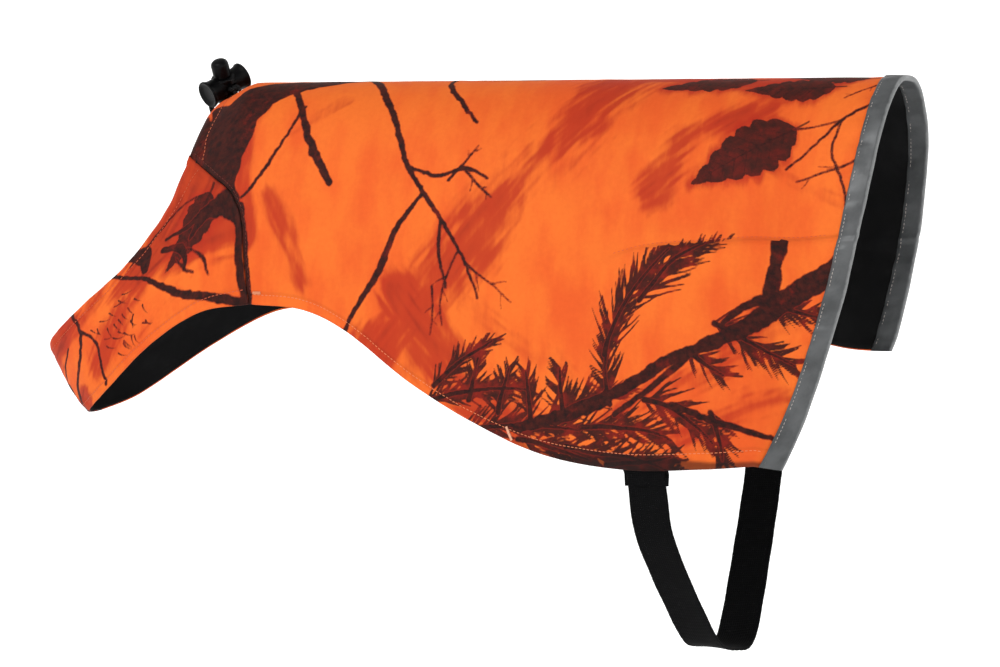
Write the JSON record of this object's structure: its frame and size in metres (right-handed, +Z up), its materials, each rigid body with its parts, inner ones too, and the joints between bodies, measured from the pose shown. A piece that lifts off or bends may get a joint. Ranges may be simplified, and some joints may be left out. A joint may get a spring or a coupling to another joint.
{
  "type": "field dog vest",
  "caption": "Blaze orange camouflage vest for a working dog: saddle-shaped back panel, chest panel, drawcord neck with cord lock, reflective rear hem and an elastic belly strap",
  "frame": {"origin": "On the lining's inner face at the middle of the back, where the vest rests on its wearer", "axes": "+X runs along the back to the tail, +Z is up and -Y is the near side"},
  "size_m": [0.6878, 0.2082, 0.4432],
  "materials": {
    "camo_shell": "blaze orange woven polyester with a brown woodland print",
    "camo_shell_chest": "blaze orange woven polyester with a brown woodland print",
    "black_lining": "matte black knitted lining",
    "black_facing": "matte black woven facing",
    "reflective_tape": "grey reflective tape, slightly glossy",
    "black_elastic": "ribbed black elastic webbing",
    "orange_thread": "dense satin bar-tack thread",
    "black_cord": "braided black cord",
    "black_plastic": "moulded black plastic",
    "spring_steel": "plain wire"
  },
  "bodies": {
    "vest": {"back_panel": "camo_shell", "chest_panel": "camo_shell_chest", "back_lining": "black_lining", "chest_lining": "black_lining", "nape_channel_facing": "black_facing", "chest_channel_facing": "black_facing", "rear_reflective_binding": "reflective_tape", "belly_strap": "black_elastic", "near_strap_tab": "black_elastic", "far_strap_tab": "black_elastic", "near_hem_bartack": "orange_thread", "far_hem_bartack": "orange_thread", "near_shoulder_bartack": "orange_thread", "far_shoulder_bartack": "orange_thread", "neck_drawcord": "black_cord", "drawcord_knot": "black_cord", "cord_exit_eyelet": "black_plastic"},
    "cord_lock": {"cord_lock_barrel": "black_plastic", "cord_lock_spring": "spring_steel"},
    "lock_plunger": {"cord_lock_plunger": "black_plastic"}
  },
  "joints": [
    {"name": "lock_slide", "type": "slide", "parent": "vest", "child": "cord_lock", "axis": [-0.8262, 0.5014, 0.2568], "range_m": [0, 0.003]},
    {"name": "plunger_press", "type": "slide", "parent": "cord_lock", "child": "lock_plunger", "axis": [0.0425, 0.51, -0.8591], "range_m": [0, 0.005], "stiffness_N_per_m": 600, "deforming": ["cord_lock_spring"]}
  ]
}
